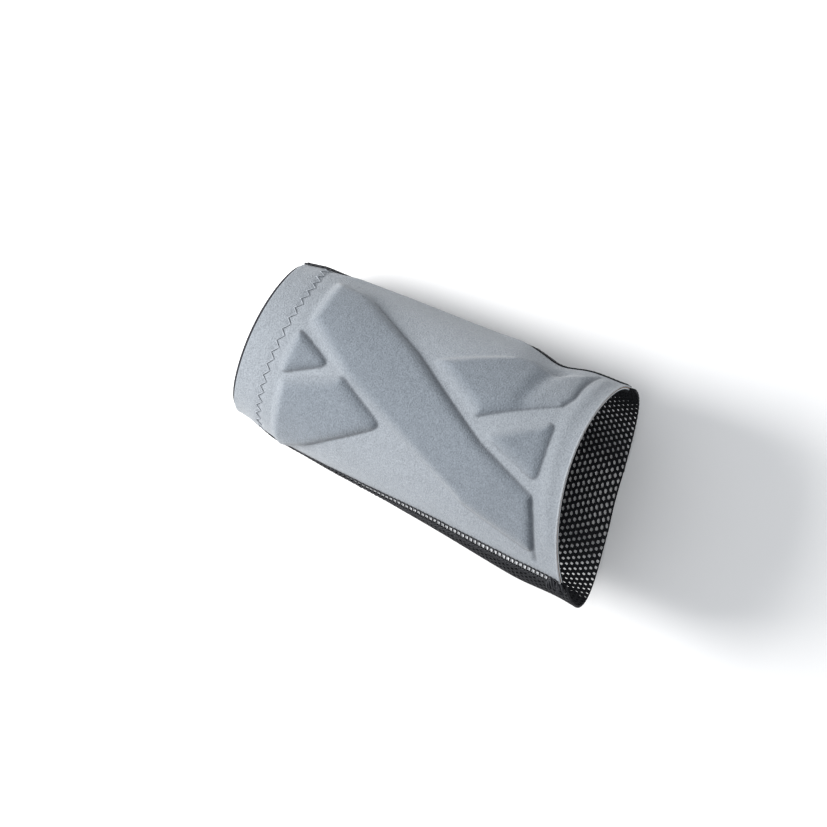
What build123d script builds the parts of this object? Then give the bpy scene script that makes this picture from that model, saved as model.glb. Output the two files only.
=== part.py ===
from build123d import *
import math
import os

# Cold compression sleeve for the forearm: a pull-on tube of cloth. Its front is a laminate that
# holds five sealed gel cells, its back is stretch mesh, and two flatlock seams join them.
# X runs from the wrist end to the elbow end, Y across, Z up. The sleeve lies on its mesh back.

# ---- driving dimensions, mm ----
sleeve_length = 148.0          # wrist edge to elbow edge, along the middle of the front
wrist_width, wrist_height = 60.6, 46.6      # inside section at the wrist edge
middle_width, middle_height = 70.4, 56.0    # inside section 75 mm up the arm
elbow_width, elbow_height = 80.6, 72.6      # inside section 150 mm up the arm
middle_station, elbow_station = 75.0, 150.0

elbow_edge_radius = 171.0      # the elbow edge is a hollow curve
elbow_edge_turn = 31.5         # its deepest point lies this far toward the upper seam
mesh_edge_step = 2.5           # the mesh runs on past the front at the elbow
lining_reveal = 0.6            # the lining shows past the front at the wrist

lining_thickness = 0.4
film_thickness = 0.2
gel_thickness = 3.6
foam_thickness = 0.4
face_thickness = 0.5

lower_seam_wrist_angle, lower_seam_elbow_angle = 104.0, 62.0    # round from the top, toward -Y
upper_seam_wrist_angle, upper_seam_elbow_angle = 82.0, 92.0     # round from the top, toward +Y
seam_margin = 3.0              # the raised cells stay this far from either seam
elbow_margin = 6.0             # and from the elbow edge
flat_depth = 1.5               # how far the mesh back is pressed flat where it lies

cell_corner = 2.0              # corner radius of a gel cell seen from above
cell_datum_height = 30.0       # the cells' planes turn about a line at this height

cover_thread_width = 3.2
cover_thread_height = 0.45

zigzag_upper, zigzag_front, zigzag_lower = 10.0, 12.7, 12.4     # distance from the wrist edge
zigzag_width = 2.4
zigzag_pitch = 4.7
zigzag_thread = 0.4            # thread diameter
zigzag_seam_clearance = 6.0    # degrees between the zigzag's ends and the seams
needle_hole = 0.3              # a stitch dives this far short of the next one
zigzag_clearance = 0.06        # a straight stitch clears the round wall under it

knot_length = 6.5              # thread built up where the lower seam ends at the elbow
knot_height = 0.9

# ---- worked out from them ----
film_base = lining_thickness
gel_base = film_base + film_thickness
film_top = gel_base + film_thickness
foam_top = film_top + foam_thickness
wall = foam_top + face_thickness
cover_layers = film_thickness + foam_thickness + face_thickness
far = 120.0                    # past every surface of the sleeve
end_allowance = 26.0           # the wall surfaces are drawn this far past both ends, then trimmed


def through_three(x, at_wrist, at_middle, at_elbow):
    """Straight from the wrist size to the middle one, and straight on to the elbow one."""
    if x < middle_station:
        return at_wrist + (at_middle - at_wrist) * x / middle_station
    beyond = (x - middle_station) / (elbow_station - middle_station)
    return at_middle + (at_elbow - at_middle) * beyond


def half_width(x):
    return through_three(x, wrist_width, middle_width, elbow_width) / 2


def half_height(x):
    return through_three(x, wrist_height, middle_height, elbow_height) / 2


def centre_height(x):
    return half_height(x) + wall - flat_depth


def wall_point(x, angle, offset):
    """Point on the wall at an angle round from the top (+ toward +Y), offset out from the inside."""
    turn = math.radians(angle)
    across = (half_width(x) + offset) * math.sin(turn)
    up = centre_height(x) + (half_height(x) + offset) * math.cos(turn)
    return Vector(x, across, up)


def tube(offset):
    """Everything inside the wall surface that lies this far out from the inside of the sleeve."""
    sections = []
    for x in (-end_allowance, middle_station, sleeve_length + end_allowance):
        at = Plane(origin=(x, 0, centre_height(x)), x_dir=(0, 1, 0), z_dir=(1, 0, 0))
        sections.append(at * Ellipse(half_width(x) + offset, half_height(x) + offset))
    floor = Pos(elbow_station / 2, 0, wall - offset - far) * Box(4 * far, 4 * far, 2 * far)
    return loft(sections, ruled=True) - floor


def seam_zone(wrist_angle, elbow_angle, side, raised):
    """Half space on one side of the sleeve (side is -1 or +1), above a seam plane."""
    low = wall_point(0, wrist_angle, wall)
    high = wall_point(elbow_station, elbow_angle, wall)
    slope = math.degrees(math.atan2(high.Z - low.Z, elbow_station))
    block = Pos(0, side * far, far) * Box(8 * far, 2 * far, 2 * far)
    return Pos(0, 0, low.Z + raised) * (Rot(0, -slope, 0) * block)


def front_zone(raised=0.0):
    """Where the front of the sleeve lies: above the lower seam at -Y and the upper seam at +Y."""
    lower = seam_zone(lower_seam_wrist_angle, lower_seam_elbow_angle, -1, raised)
    upper = seam_zone(upper_seam_wrist_angle, upper_seam_elbow_angle, 1, raised)
    return lower + upper


def length_zone(wrist_end, past_elbow):
    """Between a straight wrist end and the hollow elbow curve, moved out by past_elbow."""
    reach = math.sqrt(elbow_edge_radius**2 - elbow_edge_turn**2)
    block = Pos(wrist_end + far, 0, 0) * Box(2 * far, 4 * far, 4 * far)
    hollow = Pos(sleeve_length + reach, elbow_edge_turn, 0)
    return block - hollow * Cylinder(elbow_edge_radius - past_elbow, 4 * far)


def from_elbow(distance):
    return sleeve_length - distance


# Outline of each raised cell where its cloth meets the level ground, on a plane turned about the
# sleeve's length: distance from the wrist edge, then distance across.
cells = {
    "gel_cell_diagonal": (0, [
        (19.5, 31.5), (20.5, 12.6), (44.0, -1.8), (from_elbow(37.5), -27.6), (from_elbow(1.5), -33.5),
        (from_elbow(9.5), -13.0), (from_elbow(38.5), -2.4), (68.0, 19.6), (38.0, 31.5),
    ]),
    "gel_cell_wrist_wedge": (0, [
        (17.5, 9.2), (37.9, -0.3), (17.5, -12.6),
    ]),
    "gel_cell_lower_wedge": (40, [
        (21.3, 3.6), (44.8, 14.6), (68.5, 6.4), (46.0, -12.6), (30.0, -27.5), (21.0, -25.0),
    ]),
    "gel_cell_upper_wedge": (-40, [
        (from_elbow(69.5), -1.6), (from_elbow(37.5), 13.8), (from_elbow(25.5), 11.0),
        (from_elbow(15.0), -5.6), (from_elbow(42.5), -17.0),
    ]),
    "gel_cell_elbow_wedge": (0, [
        (from_elbow(38.0), 3.9), (from_elbow(14.0), 17.4), (from_elbow(10.7), -6.5),
    ]),
}


def cell_prism(tilt, outline, layers_over):
    """Upright block on a cell's outline, drawn in by the layers that still lie over it."""
    face = make_face(Polyline(*outline, close=True))
    face = fillet(face.vertices(), cell_corner)
    inset = cover_layers - layers_over
    if inset:
        face = offset(face, -inset, kind=Kind.ARC)
    at = Pos(0, 0, cell_datum_height) * Rot(tilt, 0, 0)
    return at * extrude(face, far)


def cell_zone(layers_over):
    """Room for gel and for the layers over it, clear of both seams and of the elbow edge."""
    inset = cover_layers - layers_over
    return front_zone(seam_margin + inset) & length_zone(0, -elbow_margin - inset)


def over_cells(base, layers_over):
    """Solid up to a layer's outside: level ground, raised where the cells lie."""
    filled = tube(base)
    raised = tube(gel_base + gel_thickness + layers_over) & cell_zone(layers_over)
    for tilt, outline in cells.values():
        filled = filled + (cell_prism(tilt, outline, layers_over) & raised)
    return filled


def seam_band(wrist_angle, elbow_angle, side, inner, outer):
    """Row of flatlock stitching along a seam, between two surfaces of the wall."""
    half = cover_thread_width / 2
    above = seam_zone(wrist_angle, elbow_angle, side, -half)
    below = seam_zone(wrist_angle, elbow_angle, side, half)
    return (tube(outer) - tube(inner)) & (above - below) & length_zone(lining_reveal, 0)


def stitch(start, end):
    """One straight stitch between two needle holes."""
    along = end - start
    length = along.length - 2 * needle_hole
    at = Plane(origin=(start + end) / 2, z_dir=along)
    return at * Cylinder(zigzag_thread / 2, length)


def zigzag_distance(angle):
    """How far the zigzag lies from the wrist edge at an angle round from the top."""
    if angle > 0:
        return zigzag_front + (zigzag_upper - zigzag_front) * (angle / upper_seam_wrist_angle) ** 2
    return zigzag_front - (zigzag_lower - zigzag_front) * angle / lower_seam_wrist_angle


def zigzag():
    """Row of zigzag stitches round the front, from seam to seam."""
    lift = wall + zigzag_thread / 2 + zigzag_clearance
    start = upper_seam_wrist_angle - zigzag_seam_clearance
    end = zigzag_seam_clearance - lower_seam_wrist_angle
    mean_radius = (wrist_width + wrist_height) / 4
    step = math.degrees(zigzag_pitch / 2 / mean_radius)
    points = []
    for i in range(int((start - end) / step) + 1):
        angle = start - i * step
        swing = zigzag_width / 2 if i % 2 else -zigzag_width / 2
        points.append(wall_point(zigzag_distance(angle) + swing, angle, lift))
    return Compound(children=[stitch(a, b) for a, b in zip(points, points[1:])])


# ---- the pieces ----
front = front_zone() & length_zone(lining_reveal, 0)
lined = front_zone() & length_zone(0, 0)

pieces = {}
inside = tube(0)
over_lining = tube(film_base)
over_back_film = tube(gel_base)
pieces["inner_lining"] = (over_lining - inside) & lined
pieces["gel_pack_back_film"] = (over_back_film - over_lining) & front

gel_height = tube(gel_base + gel_thickness)
all_cells = []
for name, (tilt, outline) in cells.items():
    cell = (gel_height - over_back_film) & cell_prism(tilt, outline, 0) & cell_zone(0)
    pieces[name] = cell
    all_cells.append(cell)

over_front_film = over_cells(film_top, film_thickness)
over_foam = over_cells(foam_top, film_thickness + foam_thickness)
over_face = over_cells(wall, cover_layers)
pieces["gel_pack_front_film"] = ((over_front_film - over_back_film) & front) - all_cells
pieces["backing_foam"] = (over_foam - over_front_film) & front

pieces["outer_face"] = (over_face - over_foam) & front
pieces["wrist_zigzag_thread"] = zigzag()

back = length_zone(lining_reveal, mesh_edge_step)
pieces["mesh_back"] = ((tube(wall) - inside) & back) - front_zone()

seams = {
    "lower": (lower_seam_wrist_angle, lower_seam_elbow_angle, -1),
    "upper": (upper_seam_wrist_angle, upper_seam_elbow_angle, 1),
}
for name, seam in seams.items():
    pieces[name + "_seam_cover_thread"] = seam_band(*seam, wall, wall + cover_thread_height)
    pieces[name + "_seam_looper_thread"] = seam_band(*seam, -cover_thread_height, 0)

cover_top = wall + cover_thread_height
last_stretch = length_zone(0, 0) - length_zone(0, -knot_length)
pieces["lower_seam_end_knot"] = seam_band(*seams["lower"], cover_top, cover_top + knot_height) & last_stretch

# The origin is the middle of the bottom of the whole sleeve's box.
box = Compound(children=[Compound(piece.solids()) for piece in pieces.values()]).bounding_box()
to_origin = Pos(-box.center().X, -box.center().Y, -box.min.Z)

os.makedirs("parts", exist_ok=True)
for name, piece in pieces.items():
    export_step(to_origin * piece, "parts/" + name + ".step")
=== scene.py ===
import bpy
import math
import numpy as np
from mathutils import Matrix, Vector


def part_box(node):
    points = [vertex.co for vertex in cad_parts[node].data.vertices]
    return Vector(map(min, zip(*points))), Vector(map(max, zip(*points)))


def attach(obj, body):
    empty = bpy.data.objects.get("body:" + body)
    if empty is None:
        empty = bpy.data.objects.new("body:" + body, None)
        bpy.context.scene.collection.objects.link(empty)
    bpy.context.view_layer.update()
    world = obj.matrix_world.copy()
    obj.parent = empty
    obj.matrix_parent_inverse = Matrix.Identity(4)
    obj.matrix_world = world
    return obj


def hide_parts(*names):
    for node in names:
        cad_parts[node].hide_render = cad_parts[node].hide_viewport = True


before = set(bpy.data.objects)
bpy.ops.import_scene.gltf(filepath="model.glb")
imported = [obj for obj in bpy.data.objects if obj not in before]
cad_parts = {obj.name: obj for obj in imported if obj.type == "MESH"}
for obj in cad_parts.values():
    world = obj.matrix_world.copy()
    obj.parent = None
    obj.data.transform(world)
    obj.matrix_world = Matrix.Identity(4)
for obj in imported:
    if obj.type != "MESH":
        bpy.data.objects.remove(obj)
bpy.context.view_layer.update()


# ---- Gel pack films ----
# Two soft films, heat-welded together in the channels, that seal the gel in. The back one lies level
# and the front one is drawn up over the cells. Both are hidden between the foam and the lining.

# Every layer follows one wall: a tube, narrow at the wrist and wide below the elbow, that lies on its
# mesh back. x is millimetres from the wrist edge, t is degrees round from the top, + toward the upper
# seam, and row() turns such points to the frame's.
wrist_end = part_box("inner_lining")[0].x
middle_line = 0.00063
elbow_edge_radius, elbow_edge_turn, front_length = 171.0, 31.5, 148.0
lining_reveal = 0.6
film_base, gel_base, film_top, foam_top, wall = 0.4, 0.6, 0.8, 1.2, 1.7
flat_depth = 1.5
lower_seam_angles, upper_seam_angles = (104.0, 62.0), (82.0, 92.0)      # at the wrist, at the elbow
rolled_under = 12.5         # how much further round the upper seam lies where the front rolls over it


def through_three(x, at_wrist, at_middle, at_elbow):
    """Smooth curve through the sizes at 0, 75 and 150 mm."""
    u = np.asarray(x, float) / 150.0
    wrist_share = at_wrist * (1 - u) * (1 - 2 * u)
    return wrist_share + at_middle * 4 * u * (1 - u) + at_elbow * u * (2 * u - 1)


def half_width(x):
    return through_three(x, 30.3, 34.9, 40.3)


def half_height(x):
    return through_three(x, 23.3, 28.0, 36.3)


def centre_height(x):
    return half_height(x) + wall - flat_depth


def bump(distance, width):
    """Soft bell, 1 at no distance and almost 0 at twice the width."""
    return np.exp(-((distance / width) ** 2))


def ramp(value, low, high):
    """0 below low, 1 above high, smooth between."""
    u = np.clip((value - low) / (high - low), 0, 1)
    return u * u * (3 - 2 * u)


def rolled_over(x):
    """1 along the middle of the upper side, where the front rolls over and hides its seam."""
    return ramp(x, 4, 34) * (1 - ramp(x, 84, 114))


def sway(x, t):
    """Unevenness of the cloth, the same for every layer, and none where the sleeve lies flat."""
    turn = np.radians(t)
    waves = 0.2 * np.sin(x / 13.0 + 1.7 * np.sin(turn * 2 + 1.0)) * np.cos(turn * 3 + x / 31.0)
    upper = 1.9 - 0.5 * ramp(x, 60, 100) - 1.9 * ramp(x, 112, 150) - 1.1 * (1 - ramp(x, 0, 10))
    upper = upper - 3.2 * bump(x - 117, 9.5) - 0.4 * rolled_over(x)
    lower = 0.7 + 2.0 * ramp(x, 2, 22) - 0.3 * ramp(x, 44, 60) - 1.9 * ramp(x, 134, 160)
    upper_side = bump(t - 88 + 8 * rolled_over(x), 30)
    lower_side = bump(np.minimum(np.abs(t + 92), np.abs(t - 268)), 34)
    return (waves + upper * upper_side + lower * lower_side) * ramp(np.cos(turn), -0.97, -0.75)


def point(x, t, out):
    """Point on the wall, out from its inside: an array of x, y, z along its last axis."""
    x, t, out = np.broadcast_arrays(np.asarray(x, float), t, out)
    turn = np.radians(t)
    lift = out + sway(x, t)
    across = (half_width(x) + lift) * np.sin(turn)
    up = centre_height(x) + (half_height(x) + lift) * np.cos(turn)
    return np.stack([x, across, np.maximum(up, wall - out)], -1)


def row(points):
    """Millimetres along, across and up the sleeve, as metres in the frame."""
    return np.asarray(points) * 0.001 + np.array([wrist_end, middle_line, 0.0])


def seam_angle(x, wrist_angle, elbow_angle):
    """Angle of a seam, which rises evenly from its height at the wrist to that at the elbow."""
    def height(at, angle):
        return centre_height(at) + (half_height(at) + wall) * math.cos(math.radians(angle))
    low, high = height(0.0, wrist_angle), height(150.0, elbow_angle)
    up = low + (high - low) * np.asarray(x, float) / 150.0
    share = (up - centre_height(x)) / (half_height(x) + wall)
    return np.degrees(np.arccos(np.clip(share, -1, 1)))


def lower_seam(x):
    return -seam_angle(x, *lower_seam_angles)


def upper_seam(x):
    return seam_angle(x, *upper_seam_angles) + rolled_under * rolled_over(np.asarray(x, float))


def elbow_edge(t):
    """Where the hollow elbow edge lies, at an angle."""
    across = (half_width(150.0) + wall) * np.sin(np.radians(t))
    reach = math.sqrt(elbow_edge_radius**2 - elbow_edge_turn**2)
    return front_length + reach - np.sqrt(elbow_edge_radius**2 - (across - elbow_edge_turn) ** 2)


def panel(around, along, start, past_elbow=0.0, past_seam=0.0, back=False):
    """Grid over the front or the back of the sleeve: arrays of x and t, around by along."""
    share_round = np.linspace(0, 1, around)[:, None]
    share_along = np.linspace(0, 1, along)[None, :]
    x = start + share_along * (front_length - start) + 0 * share_round
    for _ in range(6):
        low, high = lower_seam(x), upper_seam(x)
        if back:
            low, high = high, low + 360
        spare = np.degrees(past_seam / half_width(x))
        t = low - spare + (high - low + 2 * spare) * share_round
        x = start + share_along * (elbow_edge(t) + past_elbow - start)
    return x, t


# Five cells press out through the layers over them. Each outline is where the cloth meets the level
# ground, as x and the distance across, on a plane turned about the sleeve's length.
datum_height, mean_radius = 30.0, 36.0
cell_height, cell_corner = 2.9, 3.0
cells = {       # turn of its plane, share of the full height, angle where its edges fade, outline
    "gel_cell_diagonal": (0, 1.0, 50, [
        (19.5, 33.0), (20.5, 12.6), (44.0, -1.8), (110.5, -27.6), (146.5, -33.5),
        (138.5, -13.0), (109.5, -2.4), (68.0, 19.6), (34.0, 33.0),
    ]),
    "gel_cell_wrist_wedge": (0, 0.85, 90, [
        (17.5, 9.2), (37.9, -0.3), (17.5, -12.6),
    ]),
    "gel_cell_lower_wedge": (40, 0.9, 60, [
        (19.8, 3.6), (44.8, 14.6), (68.5, 6.4), (46.0, -12.6), (31.0, -27.0), (24.0, -36.0),
        (19.5, -34.0),
    ]),
    "gel_cell_upper_wedge": (-40, 0.95, 90, [
        (74.5, -1.2), (109.5, 16.0), (122.5, 11.0), (133.0, -5.6), (103.0, -18.0),
    ]),
    "gel_cell_elbow_wedge": (0, 0.8, 90, [
        (108.3, 0.8), (134.0, 17.9), (137.8, -7.6),
    ]),
}
pushed_up = [       # the cloth over the upper wedge, which bunches on past the gel at the elbow
    (74.5, -1.2), (104.0, 14.2), (111.0, 15.0), (117.0, 12.8), (122.0, 13.4), (128.0, 17.0),
    (134.0, 21.0), (134.4, 9.0), (134.4, 0.8), (131.5, -4.6), (103.0, -18.0),
]


def on_plane(x, t, tilt):
    """Distance across, on a plane turned by tilt, of points on the wall."""
    p = point(x, t, wall + 2.0)
    turn = math.radians(tilt)
    return p[..., 1] * math.cos(turn) + (p[..., 2] - datum_height) * math.sin(turn)


def rounded(outline, radius):
    """Outline with each corner replaced by a short curve."""
    corners = [np.array(c, float) for c in outline]
    found = []
    for i, corner in enumerate(corners):
        before, after = corners[i - 1], corners[(i + 1) % len(corners)]
        to_before, to_after = before - corner, after - corner
        long_before, long_after = np.linalg.norm(to_before), np.linalg.norm(to_after)
        cosine = to_before @ to_after / (long_before * long_after)
        half = math.acos(max(-1.0, min(1.0, cosine))) / 2
        cut = min(radius / math.tan(half), 0.4 * long_before, 0.4 * long_after)
        start = corner + to_before / long_before * cut
        end = corner + to_after / long_after * cut
        for u in np.linspace(0, 1, 6):
            found.append((1 - u) ** 2 * start + 2 * u * (1 - u) * corner + u * u * end)
    return np.array(found)


def outline_distance(x, s, outline):
    """Distance inside an outline (negative outside), and how much its nearest side faces the wrist."""
    nearest = np.full(x.shape, 1e9)
    facing = np.zeros(x.shape)
    inside = np.zeros(x.shape, bool)
    ahead = np.roll(outline, -1, 0)
    area = np.sum(outline[:, 0] * ahead[:, 1] - ahead[:, 0] * outline[:, 1])
    for a, b in zip(outline, ahead):
        side = b - a
        length = np.linalg.norm(side)
        along = np.clip(((x - a[0]) * side[0] + (s - a[1]) * side[1]) / length**2, 0, 1)
        away = np.hypot(x - a[0] - along * side[0], s - a[1] - along * side[1])
        outward = side[1] / length * np.sign(area)
        weight = 1 / (1 + np.exp(np.clip((away - nearest) / 0.5, -30, 30)))
        facing = facing * (1 - weight) - outward * weight
        nearest = np.minimum(nearest, away)
        crosses = (a[1] > s) != (b[1] > s)
        at = a[0] + (s - a[1]) * side[0] / (side[1] if abs(side[1]) > 1e-9 else 1e-9)
        inside ^= crosses & (x < at)
    return np.where(inside, nearest, -nearest), facing


def polyline_distance(x, t, route):
    """Distance over the cloth from a route given as pairs of x and angle."""
    across = np.radians(t) * mean_radius
    nearest = np.full(x.shape, 1e9)
    points = [np.array([at, math.radians(angle) * mean_radius]) for at, angle in route]
    for a, b in zip(points, points[1:]):
        side = b - a
        along = np.clip(((x - a[0]) * side[0] + (across - a[1]) * side[1]) / (side @ side), 0, 1)
        away = np.hypot(x - a[0] - along * side[0], across - a[1] - along * side[1])
        nearest = np.minimum(nearest, away)
    return nearest


folds = [       # route, height, width
    ([(132.5, 35.5), (134.6, 43.0), (134.0, 54.0), (134.8, 66.0), (135.5, 75.0)], -0.5, 0.9),
    ([(137.4, 34.0), (138.5, 50.0), (139.0, 70.0)], 0.5, 2.8),
    ([(138.4, -19.0), (141.8, -29.0), (146.9, -52.0)], -0.7, 0.9),
    ([(137.5, 27.0), (139.0, 14.0), (142.0, -3.0), (145.0, -17.0), (150.5, -36.0)], 0.5, 2.8),
    ([(122.5, 60.0), (120.3, 50.0), (119.0, 43.0), (118.1, 35.2), (117.0, 30.0)], -1.1, 3.4),
]


def pressed(x, t, tilt, outline, fade):
    """Share of its full height at which a cell stands, steep where it faces away from the wrist.

    Also how far the cloth lies over gel there, and how close it is to the foot of a steep edge, the mask for
    a painted shade line there.
    """
    inside, facing = outline_distance(x, on_plane(x, t, tilt), rounded(outline, cell_corner))
    steep = 1 - (1 - np.clip(inside / 5.5, 0, 1)) ** 2.8
    gentle = ramp(inside, -1.2, 5.0)
    share = np.maximum(ramp(facing, 0.0, 0.5), ramp(np.abs(t), fade, fade + 14))
    near = ramp(np.cos(np.radians(t + tilt)), 0.0, 0.25)
    near = near * (1 - 0.8 * ramp(t, 60, 80)) * (1 - 0.5 * ramp(-t, 64, 88))
    rise = (steep * (1 - share) + gentle * share) * near
    over = ramp(inside, -0.2, 0.8) * (1 - share) + gentle * share
    return rise, over, bump(inside - 0.1, 0.45) * (1 - share) * near


def smoothed(height):
    """Height with each point averaged with its neighbours."""
    wide = np.pad(height, 1, mode="edge")
    mean = (wide[2:, 1:-1] + wide[:-2, 1:-1] + wide[1:-1, 2:] + wide[1:-1, :-2]) / 4
    return (height + mean) / 2


def relief(x, t):
    """How far the cloth stands out from the level ground, where it lies over gel, and painted crease shade.
    """
    height, over, crease = np.zeros(x.shape), np.zeros(x.shape), np.zeros(x.shape)
    for name, (tilt, share, fade, outline) in cells.items():
        if name == "gel_cell_upper_wedge":
            outline, share = pushed_up, share * (1 - 0.45 * ramp(x, 112, 132))
        rise, cover, foot_shade = pressed(x, t, tilt, outline, fade)
        height = np.maximum(height, cell_height * share * rise * (1 - 0.35 * ramp(x, 116, 138)))
        if name == "gel_cell_upper_wedge":
            cover = cover * (1 - 0.7 * ramp(x, 114, 126))
        over = np.maximum(over, cover)
        # The foot of each steep edge is kept as a mask for painted shade.
        crease = np.maximum(crease, foot_shade)
    for route, tall, width in folds:
        along = bump(polyline_distance(x, t, route), width)
        height = height + tall * along
        # Narrow folds also add to the painted crease shade.
        if width < 1.5:
            crease = np.maximum(crease, 0.8 * along)
    height = smoothed(height - 0.25 * bump(x - 12.7, 1.3))
    to_seam = np.minimum(t - lower_seam(x), upper_seam(x) - t) * 0.6
    return np.maximum(height, -0.5) * ramp(to_seam, 0.6, 5.0), smoothed(over), smoothed(crease)


class Relief:
    """The relief worked out once on a fine grid, and read between its points afterwards."""

    def __init__(self):
        self.x = np.linspace(-2, 164, 416)
        self.t = np.linspace(-118, 112, 576)
        across, along = np.meshgrid(self.t, self.x, indexing="ij")
        self.height, self.gel, self.painted_crease_shades = relief(along, across)

    def read(self, table, x, t):
        column = np.clip((x - self.x[0]) / (self.x[1] - self.x[0]), 0, len(self.x) - 1.001)
        line = np.clip((t - self.t[0]) / (self.t[1] - self.t[0]), 0, len(self.t) - 1.001)
        c, r = column.astype(int), line.astype(int)
        u, v = column - c, line - r
        upper = table[r, c] * (1 - u) + table[r, c + 1] * u
        lower = table[r + 1, c] * (1 - u) + table[r + 1, c + 1] * u
        return upper * (1 - v) + lower * v

    def cloth(self, x, t):
        return self.read(self.height, x, t)

    def under(self, x, t):
        """Height for the layers behind the cloth, which are less fine and must not show through it."""
        return np.min([self.cloth(x + a, t + b) for a in (-0.7, 0, 0.7) for b in (-1, 0, 1)], axis=0)

    def over_gel(self, x, t):
        return self.read(self.gel, x, t)

    def crease(self, x, t):
        return self.read(self.painted_crease_shades, x, t)


raised = Relief()


def grid_solid(name, outer, inner, x, t, values=()):
    """Closed sheet between two grids of points, the inner half as fine, with UVs and named values."""
    rows, columns = outer.shape[:2]
    count = rows * columns
    index = np.arange(count).reshape(rows, columns)
    coarse = (rows // 2 + 1, columns // 2 + 1)
    under = count + np.arange(coarse[0] * coarse[1]).reshape(coarse)

    def squares(of):
        return np.stack([of[:-1, :-1], of[:-1, 1:], of[1:, 1:], of[1:, :-1]], -1).reshape(-1, 4)

    def border(of):
        return np.concatenate([of[0, :], of[1:, -1], of[-1, -2::-1], of[-2:0:-1, 0]])

    around, below = border(index), border(under)
    first, half, second = around[0::2], around[1::2], np.roll(around[0::2], -1)
    rim = np.stack([second, half, first, below, np.roll(below, -1)], -1)
    quads = np.concatenate([squares(index), squares(under)[:, ::-1]])
    corners = np.concatenate([quads.ravel(), rim.ravel()]).astype(np.int32)
    starts = np.concatenate([np.arange(len(quads)) * 4, quads.size + np.arange(len(rim)) * 5])
    places = np.concatenate([outer.reshape(-1, 3), inner[::2, ::2].reshape(-1, 3)])
    mesh = bpy.data.meshes.new(name)
    mesh.vertices.add(len(places))
    mesh.vertices.foreach_set("co", row(places).astype(np.float32).ravel())
    mesh.loops.add(len(corners))
    mesh.loops.foreach_set("vertex_index", corners)
    mesh.polygons.add(len(starts))
    mesh.polygons.foreach_set("loop_start", starts.astype(np.int32))
    mesh.update(calc_edges=True)
    mesh.validate()
    uv = np.stack([x, np.radians(t) * mean_radius], -1) * 0.001
    uv = np.concatenate([uv.reshape(-1, 2), uv[::2, ::2].reshape(-1, 2)])[corners]
    mesh.uv_layers.new(name="cloth").data.foreach_set("uv", uv.astype(np.float32).ravel())
    for label, value in dict(values).items():
        both = np.concatenate([value.ravel(), value[::2, ::2].ravel()]).astype(np.float32)
        mesh.attributes.new(label, "FLOAT", "POINT").data.foreach_set("value", both)
    mesh.polygons.foreach_set("use_smooth", np.ones(len(mesh.polygons), bool))
    thing = bpy.data.objects.new(name, mesh)
    bpy.context.scene.collection.objects.link(thing)
    return thing


def layer(name, around, along, low, high, follows=True, start=lining_reveal, values=()):
    """One layer of the front, between two distances out from the inside of the sleeve."""
    x, t = panel(around, along, start)
    rise = raised.under(x, t) if follows else 0.0
    return grid_solid(name, point(x, t, high + rise), point(x, t, low + rise), x, t, values)


def finished(piece, material, node):
    """Gives a layer its material, hides the part it stands for, and hangs it from the root body."""
    piece.data.materials.append(material)
    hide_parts(node)
    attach(piece, "root")
    return piece


class Wire:
    """A socket of a shader tree that can be used in sums."""

    def __init__(self, tree, socket):
        self.tree, self.socket = tree, socket

    def maths(self, operation, other, flipped=False):
        first, second = (other, self) if flipped else (self, other)
        return self.tree.node("ShaderNodeMath", {"operation": operation}, {0: first, 1: second})

    def __add__(self, other): return self.maths("ADD", other)
    def __radd__(self, other): return self.maths("ADD", other, True)
    def __sub__(self, other): return self.maths("SUBTRACT", other)
    def __rsub__(self, other): return self.maths("SUBTRACT", other, True)
    def __mul__(self, other): return self.maths("MULTIPLY", other)
    def __rmul__(self, other): return self.maths("MULTIPLY", other, True)
    def clamp(self): return self.maths("MAXIMUM", 0.0).maths("MINIMUM", 1.0)
    def sine(self): return self.tree.node("ShaderNodeMath", {"operation": "SINE"}, {0: self})


class Finish:
    """One material: its Principled shader with the constants set, and the nodes that vary it."""

    def __init__(self, name, **constants):
        self.material = bpy.data.materials.new(name)
        self.material.use_nodes = True
        self.nodes = self.material.node_tree.nodes
        self.links = self.material.node_tree.links
        self.shader = self.nodes["Principled BSDF"]
        for socket, value in constants.items():
            self.shader.inputs[socket.replace("_", " ")].default_value = value

    def node(self, kind, settings=None, sockets=None, output=0):
        made = self.nodes.new(kind)
        for key, value in (settings or {}).items():
            setattr(made, key, value)
        for key, value in (sockets or {}).items():
            if isinstance(value, Wire):
                self.links.new(value.socket, made.inputs[key])
            else:
                made.inputs[key].default_value = value
        return Wire(self, made.outputs[output])

    def place(self):
        return self.node("ShaderNodeTexCoord", output="Object")

    def value(self, attribute):
        return self.node("ShaderNodeAttribute", {"attribute_name": attribute}, output="Fac")

    def noise(self, size, detail=2.0, where=None):
        sockets = {"Vector": where or self.place(), "Scale": 1000.0 / size, "Detail": detail}
        return self.node("ShaderNodeTexNoise", {}, sockets, "Fac")

    def mix(self, share, first, second):
        made = self.nodes.new("ShaderNodeMix")
        made.data_type = "RGBA"
        for socket, value in zip([made.inputs[i] for i in (0, 6, 7)], (share, first, second)):
            if isinstance(value, Wire):
                self.links.new(value.socket, socket)
            else:
                socket.default_value = value if isinstance(value, float) else (*value, 1.0)
        return Wire(self, made.outputs[2])

    def relief(self, height, depth):
        sockets = {"Height": height, "Distance": depth * 0.001, "Strength": 1.0}
        return self.node("ShaderNodeBump", {}, sockets, "Normal")

    def feed(self, socket, value):
        self.links.new(value.socket, self.shader.inputs[socket])


film = Finish("soft_film", Roughness=0.35)
film_clouds = film.noise(9.0, 3.0)
film.feed("Base Color", film.mix(film_clouds, (0.50, 0.56, 0.61), (0.66, 0.71, 0.74)))
film.feed("Normal", film.relief(film.noise(1.4), 0.1))

back_film = layer("gel_pack_back_film_cut", 61, 91, film_base, gel_base, follows=False)
finished(back_film, film.material, "gel_pack_back_film")
front_film = layer("gel_pack_front_film_drawn", 111, 161, gel_base, film_top)
finished(front_film, film.material, "gel_pack_front_film")


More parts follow.
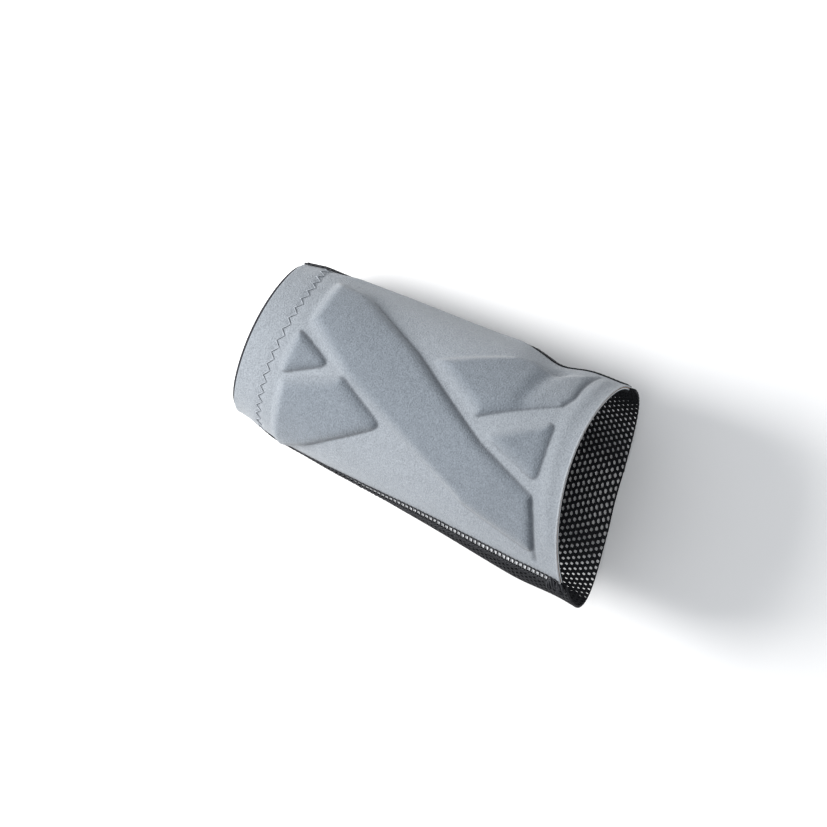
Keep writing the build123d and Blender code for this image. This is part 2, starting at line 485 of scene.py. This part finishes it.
# ---- Gel cells ----
# Five bodies of soft cold gel, poured to a flat-topped slab in the film's pockets. Each fills its
# pocket from the back film to the drawn-up front film, and stops short of the weld round it.
gel = Finish("cold_gel", Roughness=0.18, Subsurface_Weight=0.35, Subsurface_Scale=0.004)
gel_clouds = gel.noise(5.0, 4.0)
gel.feed("Base Color", gel.mix(gel_clouds, (0.20, 0.46, 0.70), (0.42, 0.66, 0.84)))
gel.feed("Normal", gel.relief(gel.noise(2.5), 0.15))


def angle_on_plane(x, s, tilt):
    """Angle round the wall of points drawn on a cell's plane."""
    low, high = np.full(x.shape, -tilt - 80.0), np.full(x.shape, -tilt + 80.0)
    for _ in range(30):
        half = (low + high) / 2
        short = on_plane(x, half, tilt) < s
        low, high = np.where(short, half, low), np.where(short, high, half)
    return (low + high) / 2


def gel_body(name, tilt, outline):
    """Closed cushion of gel under one cell, in rings from its middle to its outline."""
    weld = 0.93
    shape = rounded(outline, cell_corner)
    sides = zip(shape, np.roll(shape, -1, 0))
    fine = np.concatenate([np.linspace(a, b, 4, endpoint=False) for a, b in sides])
    centre = fine.mean(0)
    shares = np.sin(np.linspace(0.04, 1, 16) * math.pi / 2) * weld
    ring = centre + shares[:, None, None] * (fine - centre)
    x, s = ring[..., 0], ring[..., 1]
    t = angle_on_plane(x, s, tilt)
    rise = np.maximum(raised.cloth(x, t) - 0.05, 0.1)
    rise[-1] *= 0.55
    top, bottom = point(x, t, gel_base + rise), point(x, t, gel_base + 0 * rise + 0.02)
    sides, rings = len(fine), len(shares)
    places = np.concatenate([top.reshape(-1, 3), bottom.reshape(-1, 3)])
    faces = []
    for level in (0, rings * sides):
        for r in range(rings - 1):
            for k in range(sides):
                n = (k + 1) % sides
                quad = [level + r * sides + k, level + (r + 1) * sides + k]
                quad += [level + (r + 1) * sides + n, level + r * sides + n]
                faces.append(quad if level == 0 else quad[::-1])
        middle = [level + k for k in range(sides)]
        faces.append(middle if level == 0 else middle[::-1])
    outer = (rings - 1) * sides
    for k in range(sides):
        n = (k + 1) % sides
        faces.append([outer + k, rings * sides + outer + k, rings * sides + outer + n, outer + n])
    mesh = bpy.data.meshes.new(name)
    mesh.from_pydata(row(places).tolist(), [], faces)
    mesh.validate()
    mesh.polygons.foreach_set("use_smooth", np.ones(len(mesh.polygons), bool))
    body = bpy.data.objects.new(name, mesh)
    bpy.context.scene.collection.objects.link(body)
    return body


for node, (tilt, share, fade, outline) in cells.items():
    body = gel_body(node + "_gel", tilt, outline)
    body.data.materials.append(gel.material)
    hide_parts(node)
    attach(body, "root")


# ---- Backing foam ----
# A thin tan foam, bonded to the back of the jersey before cutting. It shows only as a brownish line
# at the cut elbow edge.
foam = Finish("tan_foam", Roughness=0.95)
foam_cells = foam.noise(0.7, 3.0)
foam.feed("Base Color", foam.mix(foam_cells, (0.16, 0.11, 0.085), (0.33, 0.25, 0.20)))
foam.feed("Normal", foam.relief(foam_cells, 0.2))
backing = layer("backing_foam_bonded", 111, 161, film_top, foam_top)
finished(backing, foam.material, "backing_foam")


# ---- Outer face ----
# Grey-blue stretch jersey with a brushed, heathered nap, laminated over the gel pack. It is cut raw
# at the wrist and elbow and runs under the flatlock stitching. Its cut edge along the seams and at the
# elbow is coloured near-white: partly its pale core, partly a painted highlight.
seam_allowance = 1.2
x, t = panel(221, 345, lining_reveal, past_seam=seam_allowance)
rise = raised.cloth(x, t)
to_seam = np.minimum(t - lower_seam(x), upper_seam(x) - t) * np.radians(1) * half_width(x)
to_elbow = elbow_edge(t) - x
# Pale cut core plus a painted highlight: near-white along the seam edges, full on the lower seam and less on
# the upper, and faint along the elbow edge.
seam_edge_highlight = (1 - ramp(to_seam, 1.6, 2.0)) * np.where(t < 0, 1.0, 0.4)
cut = np.maximum(seam_edge_highlight, 0.3 * bump(to_elbow, 0.5))
curl = 0.2 * bump(to_elbow, 2.5)
roll_height, roll_width, roll_from_seam = 1.15, 3.2, 8.0
from_roll = (upper_seam(x) - roll_from_seam - t) * np.radians(1) * half_width(x)
roll = roll_height * bump(from_roll, roll_width) * ramp(x, 12, 26) * (1 - ramp(x, 96, 108))
face_values = {"over_gel": raised.over_gel(x, t), "crease": raised.crease(x, t), "cut_edge": cut}
rise = rise + curl + roll
face_out, face_in = point(x, t, wall + rise), point(x, t, foam_top + rise)
face = grid_solid("outer_face_jersey", face_out, face_in, x, t, face_values)

jersey = Finish("brushed_jersey", Roughness=0.92, Sheen_Weight=0.25, Sheen_Roughness=0.5)
nap = jersey.noise(0.6, 2.0)
heather = jersey.noise(2.6, 2.0)
patches = jersey.noise(24.0, 2.0)
over_gel = jersey.value("over_gel")
knit_place = jersey.node("ShaderNodeUVMap", {"uv_map": "cloth"})
knit_parts = jersey.node("ShaderNodeSeparateXYZ", sockets={0: knit_place})
wale = (Wire(jersey, knit_parts.socket.node.outputs[1]) * 9000.0).sine()
course = (Wire(jersey, knit_parts.socket.node.outputs[0]) * 7400.0).sine()
loops = (wale * course) * 0.5 + 0.5
shade = (nap - 0.5) * 2.3 + (heather - 0.5) * 0.5 + (patches - 0.5) * 0.3 + 0.5
level = jersey.mix(shade.clamp(), (0.177, 0.195, 0.216), (0.268, 0.293, 0.323))
on_gel = jersey.mix(shade.clamp(), (0.108, 0.126, 0.147), (0.184, 0.210, 0.240))
base = jersey.mix((over_gel * 1.05).clamp(), level, on_gel)
# Painted shade: the foot of each steep cell edge and each narrow fold is darkened towards dark grey-blue.
base = jersey.mix((jersey.value("crease") * 0.66).clamp(), base, (0.040, 0.048, 0.060))
# Painted highlight mixed with the jersey's pale core, near-white at the seam and elbow edges.
base = jersey.mix(jersey.value("cut_edge"), base, (0.93, 0.95, 0.97))
jersey.feed("Base Color", base)
jersey.feed("Normal", jersey.relief(nap + heather * 0.3 + loops * 0.15, 0.4))
finished(face, jersey.material, "outer_face")


# ---- Inner lining ----
# Smooth black tricot against the skin. It shows as a thin dark line past the jersey at the wrist,
# and inside both mouths.
tricot = Finish("black_tricot", Roughness=0.8, Specular_IOR_Level=0.25)
tricot_place = tricot.node("ShaderNodeUVMap", {"uv_map": "cloth"})
tricot_parts = tricot.node("ShaderNodeSeparateXYZ", sockets={0: tricot_place})
rib = (Wire(tricot, tricot_parts.socket.node.outputs[1]) * 6300.0).sine() * 0.5 + 0.5
tricot_nap = tricot.noise(1.2, 2.0)
tricot.feed("Base Color", tricot.mix(tricot_nap, (0.006, 0.007, 0.010), (0.024, 0.026, 0.032)))
tricot.feed("Normal", tricot.relief(rib + tricot_nap * 0.5, 0.12))
lining = layer("inner_lining_tricot", 91, 131, 0.0, film_base, follows=False, start=-0.9)
finished(lining, tricot.material, "inner_lining")


# ---- Mesh back ----
# Open black stretch mesh that closes the tube behind and lets it stretch. It is knitted as a net of
# six-sided holes, which the elbow end pulls wider, and it runs on a little past the jersey there.
mesh_past_elbow = 2.5
holes_around, holes_along = 50, 78
thread_depth = 0.85

strand = Finish("mesh_strand", Roughness=0.85, Specular_IOR_Level=0.2)
strand_nap = strand.noise(0.6, 2.0)
strand.feed("Base Color", strand.mix(strand_nap, (0.004, 0.0045, 0.006), (0.018, 0.019, 0.023)))
strand.feed("Normal", strand.relief(strand_nap, 0.2))


hole_corners = [(0, 0.66), (0.5, 0.34), (0.5, -0.34), (0, -0.66), (-0.5, -0.34), (-0.5, 0.34)]


def net_faces(around, along):
    """Six-sided cells that fill a square of side 1, as corner places and lists of corners."""
    wide, tall = 1.0 / around, 1.0 / along
    places, faces, known = [], [], {}
    for i in range(-1, along + 1):
        for k in range(-1, around + 1):
            centre = ((k + 0.5 + 0.5 * (i % 2)) * wide, (i + 0.5) * tall)
            ring = []
            for across, up in hole_corners:
                u = min(max(centre[0] + across * wide, 0.0), 1.0)
                v = min(max(centre[1] + up * tall, 0.0), 1.0)
                key = (round(u * around * 4), round(v * along * 50))
                if key not in known:
                    known[key] = len(places)
                    places.append((u, v))
                if known[key] not in ring:
                    ring.append(known[key])
            if len(ring) > 2:
                faces.append(ring)
    return np.array(places), faces


def on_back(share_round, share_along):
    """x and angle on the back, from shares of the way round and along."""
    x = lining_reveal + share_along * front_length
    for _ in range(6):
        low, high = upper_seam(x), lower_seam(x) + 360
        t = low + (high - low) * share_round
        x = lining_reveal + share_along * (elbow_edge(t) + mesh_past_elbow - lining_reveal)
    return x, t


def socket_named(tree, name, kind, value=None):
    """Adds a named input to a node tree."""
    made = tree.interface.new_socket(name, in_out="INPUT", socket_type=kind)
    if value is not None:
        made.default_value = value
    return made


def node_tree(name):
    """An empty Geometry Nodes tree with its geometry sockets."""
    tree = bpy.data.node_groups.new(name, "GeometryNodeTree")
    socket_named(tree, "Geometry", "NodeSocketGeometry")
    tree.interface.new_socket("Geometry", in_out="OUTPUT", socket_type="NodeSocketGeometry")
    return tree, tree.nodes.new("NodeGroupInput"), tree.nodes.new("NodeGroupOutput")


def grown(piece, tree, **inputs):
    """Puts a piece through a tree, keeps the result as its plain mesh, and removes the modifier."""
    modifier = piece.modifiers.new(tree.name, "NODES")
    modifier.node_group = tree
    for item in tree.interface.items_tree:
        if item.in_out == "INPUT" and item.name.replace(" ", "_") in inputs:
            modifier[item.identifier] = inputs[item.name.replace(" ", "_")]
    bpy.context.view_layer.update()
    held = piece.evaluated_get(bpy.context.evaluated_depsgraph_get())
    result = bpy.data.meshes.new_from_object(held)
    piece.modifiers.clear()
    piece.data = result
    result.name = piece.name
    return piece


def net_tree():
    """Opens a hole in every face of a mesh and gives what is left its depth."""
    tree, given, out = node_tree("open_net")
    socket_named(tree, "Hole Share", "NodeSocketFloat", 0.6)
    socket_named(tree, "Depth", "NodeSocketFloat", 0.001)
    socket_named(tree, "Finish", "NodeSocketMaterial")
    add, link = tree.nodes.new, tree.links.new
    inset = add("GeometryNodeExtrudeMesh")
    inset.inputs["Offset Scale"].default_value = 0.0
    inset.inputs["Individual"].default_value = True
    shrink = add("GeometryNodeScaleElements")
    remove = add("GeometryNodeDeleteGeometry")
    remove.domain = "FACE"
    deepen = add("GeometryNodeExtrudeMesh")
    deepen.inputs["Individual"].default_value = False
    turn = add("GeometryNodeFlipFaces")
    join = add("GeometryNodeJoinGeometry")
    merge = add("GeometryNodeMergeByDistance")
    merge.inputs["Distance"].default_value = 1e-6
    smooth = add("GeometryNodeSetShadeSmooth")
    smooth.inputs["Shade Smooth"].default_value = False
    realize = add("GeometryNodeRealizeInstances")
    paint = add("GeometryNodeSetMaterial")
    link(given.outputs["Geometry"], inset.inputs["Mesh"])
    link(inset.outputs["Mesh"], shrink.inputs["Geometry"])
    link(inset.outputs["Top"], shrink.inputs["Selection"])
    link(given.outputs["Hole Share"], shrink.inputs["Scale"])
    link(shrink.outputs["Geometry"], remove.inputs["Geometry"])
    link(inset.outputs["Top"], remove.inputs["Selection"])
    link(remove.outputs["Geometry"], deepen.inputs["Mesh"])
    link(given.outputs["Depth"], deepen.inputs["Offset Scale"])
    link(remove.outputs["Geometry"], turn.inputs["Mesh"])
    link(deepen.outputs["Mesh"], join.inputs["Geometry"])
    link(turn.outputs["Mesh"], join.inputs["Geometry"])
    link(join.outputs["Geometry"], merge.inputs["Geometry"])
    link(merge.outputs["Geometry"], smooth.inputs["Geometry"])
    link(smooth.outputs["Geometry"], realize.inputs["Geometry"])
    link(realize.outputs["Geometry"], paint.inputs["Geometry"])
    link(given.outputs["Finish"], paint.inputs["Material"])
    link(paint.outputs["Geometry"], out.inputs["Geometry"])
    return tree


places, faces = net_faces(holes_around, holes_along)
x, t = on_back(places[:, 0], places[:, 1])
net_mesh = bpy.data.meshes.new("mesh_back_net")
net_mesh.from_pydata(row(point(x, t, wall - thread_depth)).tolist(), [], faces)
net = bpy.data.objects.new("mesh_back_net", net_mesh)
bpy.context.scene.collection.objects.link(net)
lowest = min(net_mesh.polygons, key=lambda face: face.center.z)
if lowest.normal.z > 0:
    net_mesh.flip_normals()
grown(net, net_tree(), Hole_Share=0.6, Depth=thread_depth * 0.001, Finish=strand.material)
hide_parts("mesh_back")
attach(net, "root")


# ---- Rows of stitches ----
# Every row is one stitch of thread, repeated along its seam. A stitch is modelled lying along X with
# the cloth under it, and the row's points say where each one lies and how it is turned.
def thread_tube(places, radius, sides=6):
    """Corners and faces of a round thread through a list of points, closed at both ends."""
    line = [Vector(p) for p in places]
    corners, faces = [], []
    for i, at in enumerate(line):
        ahead = (line[min(i + 1, len(line) - 1)] - line[max(i - 1, 0)]).normalized()
        side = ahead.orthogonal() if i == 0 else side - side.dot(ahead) * ahead
        side = side.normalized()
        over = ahead.cross(side)
        for k in range(sides):
            turn = 2 * math.pi * k / sides
            corners.append(at + radius * (math.cos(turn) * side + math.sin(turn) * over))
    for i in range(len(line) - 1):
        for k in range(sides):
            n = (k + 1) % sides
            faces.append((i * sides + k, i * sides + n, (i + 1) * sides + n, (i + 1) * sides + k))
    faces.append(tuple(reversed(range(sides))))
    faces.append(tuple(range(len(corners) - sides, len(corners))))
    return corners, faces


def thread_piece(name, runs):
    """One object from several runs of thread, each a list of points in millimetres and a radius."""
    corners, faces = [], []
    for places, radius in runs:
        more, made = thread_tube(places, radius)
        faces += [tuple(c + len(corners) for c in face) for face in made]
        corners += more
    mesh = bpy.data.meshes.new(name)
    mesh.from_pydata([c * 0.001 for c in corners], [], faces)
    mesh.polygons.foreach_set("use_smooth", np.ones(len(mesh.polygons), bool))
    return bpy.data.objects.new(name, mesh)


def stitch_tree():
    """Sets a copy of the stitch on every point, turned and stretched as the point says."""
    tree, given, out = node_tree("stitch_row")
    socket_named(tree, "Stitch", "NodeSocketObject")
    socket_named(tree, "Unevenness", "NodeSocketFloat", 0.05)
    socket_named(tree, "Seed", "NodeSocketInt", 1)
    socket_named(tree, "Finish", "NodeSocketMaterial")
    add, link = tree.nodes.new, tree.links.new
    stitch = add("GeometryNodeObjectInfo")
    turned = add("GeometryNodeInputNamedAttribute")
    turned.data_type = "QUATERNION"
    turned.inputs["Name"].default_value = "turned"
    reach = add("GeometryNodeInputNamedAttribute")
    reach.data_type = "FLOAT_VECTOR"
    reach.inputs["Name"].default_value = "reach"
    below = add("ShaderNodeMath")
    below.operation = "SUBTRACT"
    below.inputs[0].default_value = 1.0
    above = add("ShaderNodeMath")
    above.operation = "ADD"
    above.inputs[0].default_value = 1.0
    vary = add("FunctionNodeRandomValue")
    vary.data_type = "FLOAT"
    scale = add("ShaderNodeVectorMath")
    scale.operation = "SCALE"
    place = add("GeometryNodeInstanceOnPoints")
    realize = add("GeometryNodeRealizeInstances")
    paint = add("GeometryNodeSetMaterial")
    link(given.outputs["Stitch"], stitch.inputs["Object"])
    link(given.outputs["Unevenness"], below.inputs[1])
    link(given.outputs["Unevenness"], above.inputs[1])
    link(below.outputs[0], vary.inputs[2])
    link(above.outputs[0], vary.inputs[3])
    link(given.outputs["Seed"], vary.inputs["Seed"])
    link(reach.outputs["Attribute"], scale.inputs[0])
    link(vary.outputs[1], scale.inputs["Scale"])
    link(given.outputs["Geometry"], place.inputs["Points"])
    link(stitch.outputs["Geometry"], place.inputs["Instance"])
    link(turned.outputs["Attribute"], place.inputs["Rotation"])
    link(scale.outputs["Vector"], place.inputs["Scale"])
    link(place.outputs["Instances"], realize.inputs["Geometry"])
    link(realize.outputs["Geometry"], paint.inputs["Geometry"])
    link(given.outputs["Finish"], paint.inputs["Material"])
    link(paint.outputs["Geometry"], out.inputs["Geometry"])
    return tree


stitch_row_tree = stitch_tree()


def stitch_row(name, stitch, spots, ahead, out, reach, material, seed=1, unevenness=0.05):
    """A row of stitches at spots in millimetres, each turned ahead along the seam and out off it."""
    mesh = bpy.data.meshes.new(name)
    mesh.from_pydata(row(spots).tolist(), [], [])
    turned = []
    for forward, up in zip(ahead, out):
        forward = Vector(forward).normalized()
        across = Vector(up).cross(forward).normalized()
        up = forward.cross(across)
        turned += Matrix((forward, across, up)).transposed().to_quaternion()[:]
    mesh.attributes.new("turned", "QUATERNION", "POINT").data.foreach_set("value", turned)
    sizes = np.array([(r, 1.0, 1.0) for r in reach], np.float32)
    mesh.attributes.new("reach", "FLOAT_VECTOR", "POINT").data.foreach_set("vector", sizes.ravel())
    piece = bpy.data.objects.new(name, mesh)
    bpy.context.scene.collection.objects.link(piece)
    grown(piece, stitch_row_tree, Stitch=stitch, Unevenness=unevenness, Seed=seed, Finish=material)
    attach(piece, "root")
    return piece


def outward(x, t, out):
    """Direction straight out from the wall."""
    step = 0.05
    along = point(x + step, t, out) - point(x - step, t, out)
    around = point(x, t + step, out) - point(x, t - step, out)
    normal = np.cross(along, around)
    return normal / np.linalg.norm(normal, axis=-1, keepdims=True)


# ---- Wrist zigzag ----
# One row of zigzag lockstitch in dark grey thread, 12.7 mm in from the wrist edge, that holds the
# jersey, the gel pack's border and the lining together.
zigzag_place, zigzag_width, zigzag_pitch, zigzag_radius = 12.7, 2.5, 4.7, 0.2
zigzag_length, seam_clearance, zigzag_unevenness = 190, 5, 0.0

grey_thread = Finish("grey_thread", Roughness=0.5)
grey_twist = grey_thread.noise(1.1, 2.0)
grey_thread.feed("Base Color", grey_thread.mix(grey_twist, (0.05, 0.06, 0.075), (0.46, 0.49, 0.53)))
grey_thread.feed("Normal", grey_thread.relief(grey_twist, 0.1))

arch = [(u, 0.0, zigzag_radius * (0.9 - 1.6 * (2 * u) ** 6)) for u in np.linspace(-0.5, 0.5, 9)]
zigzag_stitch = thread_piece("zigzag_stitch", [(arch, zigzag_radius)])

count = int(zigzag_length / zigzag_pitch)
first, last = upper_seam(zigzag_place) - seam_clearance, lower_seam(zigzag_place) + seam_clearance
angles = np.linspace(first, last, count)
swing = np.where(np.arange(count) % 2, 0.5, -0.5) * zigzag_width
lean = np.where(np.arange(count) % 2, 0.3, -0.3)
settle = 2.6 * ramp(angles, 45, 85)
at = zigzag_place - settle + swing
angles = angles + lean
needle = point(at, angles, wall + raised.cloth(at, angles))
middle, run = (needle[1:] + needle[:-1]) / 2, needle[1:] - needle[:-1]
middle_out = outward((at[1:] + at[:-1]) / 2, (angles[1:] + angles[:-1]) / 2, wall)
long = np.linalg.norm(run, axis=1)
zigzag = stitch_row("wrist_zigzag_stitches", zigzag_stitch, middle, run, middle_out, long,
                    grey_thread.material, 3, zigzag_unevenness)
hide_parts("wrist_zigzag_thread")


# ---- Flatlock seams ----
# Two rows of flatlock stitching in black textured thread join the jersey to the mesh. Outside they
# make a ladder of rungs between two looped rails; inside, the loopers cross back and forth.
stitch_pitch = 1.95
black_thread = Finish("black_thread", Roughness=0.6, Specular_IOR_Level=0.25)
black_twist = black_thread.noise(0.35, 2.0)
black_thread.feed("Base Color", black_thread.mix(black_twist, (0.006, 0.006, 0.008), (0.026, 0.028, 0.034)))
black_thread.feed("Normal", black_thread.relief(black_twist, 0.15))

turns = np.linspace(0, 1, 7)
rung = [(0.5 - u, 2.1 - 4.0 * u, 0.26 + 0.2 * math.sin(u * math.pi)) for u in turns]
near_rail = [(-1.1 + 2.2 * u, 2.05 + 0.2 * math.sin(u * math.pi * 2), 0.3) for u in turns]
far_rail = [(-1.1 + 2.2 * u, -1.5 - 0.25 * math.sin(u * math.pi * 2), 0.3) for u in turns]
outer_rail = [(-1.1 + 2.2 * u, -2.2 + 0.3 * math.sin(u * math.pi * 2), 0.28) for u in turns]
cover_runs = [(rung, 0.32), (near_rail, 0.3), (far_rail, 0.4), (outer_rail, 0.36)]
cover_stitch = thread_piece("cover_stitch", cover_runs)
cross = [(-0.95 + 1.9 * u, 1.5 - 3.0 * u, 0.2) for u in turns]
cross_back = [(-0.95 + 1.9 * u, -1.5 + 3.0 * u, 0.3) for u in turns]
looper_stitch = thread_piece("looper_stitch", [(cross, 0.2), (cross_back, 0.2)])

for side, seam in (("lower", lower_seam), ("upper", upper_seam)):
    end = float(elbow_edge(seam(np.array(150.0))))
    at = np.arange(lining_reveal + 0.9, end - 0.6, stitch_pitch)
    for kind, stitch, out, seed in (("cover", cover_stitch, wall, 5), ("looper", looper_stitch, 0.0, 7)):
        spots = point(at, seam(at), out)
        ahead = point(at + 0.5, seam(at + 0.5), out) - point(at - 0.5, seam(at - 0.5), out)
        away = outward(at, seam(at), out) * (1 if kind == "cover" else -1)
        if side == "upper":
            ahead = -ahead
        name = side + "_seam_" + kind
        seam_row = stitch_row(name + "_stitches", stitch, spots, ahead, away, np.ones(len(at)),
                              black_thread.material, seed)
        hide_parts(name + "_thread")


# ---- Knot at the elbow end of the lower seam ----
# Where the lower seam runs off the elbow edge its chain of thread is tied down in a small black lump
# of loops, with two short ends left loose.
end = float(elbow_edge(lower_seam(np.array(150.0))))


def by_seam(along, across, out):
    """Place near the seam's elbow end: along it, across it toward the jersey, and off the cloth."""
    x = end + along
    t = lower_seam(np.array(x)) + np.degrees(across / 40.0)
    return point(x, t, wall + out)


loops = []
for loop in range(9):
    phase = loop * 2.4
    start, wide = -3.8 + 0.66 * loop, 2.1 + 0.5 * math.sin(phase)
    ring = []
    for u in np.linspace(0, 2 * math.pi, 15):
        lift = 1.5 + 0.8 * math.sin(2 * u + phase)
        ring.append(by_seam(start + 1.5 * math.cos(u + phase), wide * math.sin(u) - 0.4, lift))
    loops.append((ring, 0.42))
for bend in (0.0, 1.0):
    tail = [(-1.8, 0.8 - bend, 1.5), (0.0, 1.3 - bend, 1.7), (1.4, 0.9 - bend, 1.3), (2.3, -0.4 - bend, 0.9)]
    tail += [(2.2, -1.9 - bend, 0.6), (1.1 + bend, -3.0 - bend, 0.5), (2.2 - bend, -4.1 - bend, 0.4)]
    loops.append(([by_seam(*p) for p in tail], 0.32))
knot_source = thread_piece("lower_seam_end_loops", loops)
knot_source.data.transform(Matrix.Translation((wrist_end, middle_line, 0.0)))
bpy.context.scene.collection.objects.link(knot_source)
knot_source.data.materials.append(black_thread.material)
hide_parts("lower_seam_end_knot")
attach(knot_source, "root")


# ---- Floor, light and camera ----
# A plain pale table, soft daylight from beyond the wrist end, and a camera looking down on the front
# from a little toward the elbow, rolled as the sleeve is worn on a lowered forearm.
floor_mesh = bpy.data.meshes.new("floor")
floor_mesh.from_pydata([(-3, -3, 0), (3, -3, 0), (3, 3, 0), (-3, 3, 0)], [], [(0, 1, 2, 3)])
floor = bpy.data.objects.new("floor", floor_mesh)
bpy.context.scene.collection.objects.link(floor)
paper = Finish("pale_table", Roughness=0.9)
paper.feed("Base Color", paper.mix(paper.noise(60.0, 2.0), (0.86, 0.865, 0.87), (0.90, 0.90, 0.90)))
floor.data.materials.append(paper.material)


def soft_light(name, place, aim, size, watts, colour):
    """Square area light that faces a point."""
    lamp = bpy.data.lights.new(name, "AREA")
    lamp.size, lamp.energy, lamp.color = size, watts, colour
    holder = bpy.data.objects.new(name, lamp)
    holder.location = place
    holder.rotation_euler = (Vector(aim) - Vector(place)).to_track_quat("-Z", "Y").to_euler()
    bpy.context.scene.collection.objects.link(holder)
    return holder


soft_light("window", (-0.43, -0.13, 0.39), (0, 0, 0.03), 0.28, 5.4, (1.0, 0.99, 0.98))
soft_light("ceiling", (0.1, 0.15, 1.3), (0, 0, 0.03), 1.4, 6.0, (0.99, 0.995, 1.0))

world = bpy.data.worlds.new("room")
world.use_nodes = True
world.node_tree.nodes["Background"].inputs["Color"].default_value = (0.93, 0.96, 1.0, 1.0)
world.node_tree.nodes["Background"].inputs["Strength"].default_value = 0.50
bpy.context.scene.world = world
bpy.context.scene.view_settings.view_transform = "Standard"

lean, roll, distance = math.radians(18.0), math.radians(25.3), 1.1
aim = Vector((-0.0075, 0.0006, 0.033))
toward = Vector((math.sin(lean), 0.0, math.cos(lean)))
level_right = Vector((math.cos(lean), 0.0, -math.sin(lean)))
level_up = toward.cross(level_right)
right = math.cos(roll) * level_right + math.sin(roll) * level_up
up = math.cos(roll) * level_up - math.sin(roll) * level_right
camera = bpy.data.objects.new("camera", bpy.data.cameras.new("camera"))
turned = Matrix((right, up, toward)).transposed().to_4x4()
camera.matrix_world = Matrix.Translation(aim + toward * distance) @ turned
camera.data.sensor_width = 36.0
camera.data.lens = 122.5
camera.data.shift_x = -0.0168
camera.data.shift_y = -0.0033
bpy.context.scene.collection.objects.link(camera)
bpy.context.scene.camera = camera
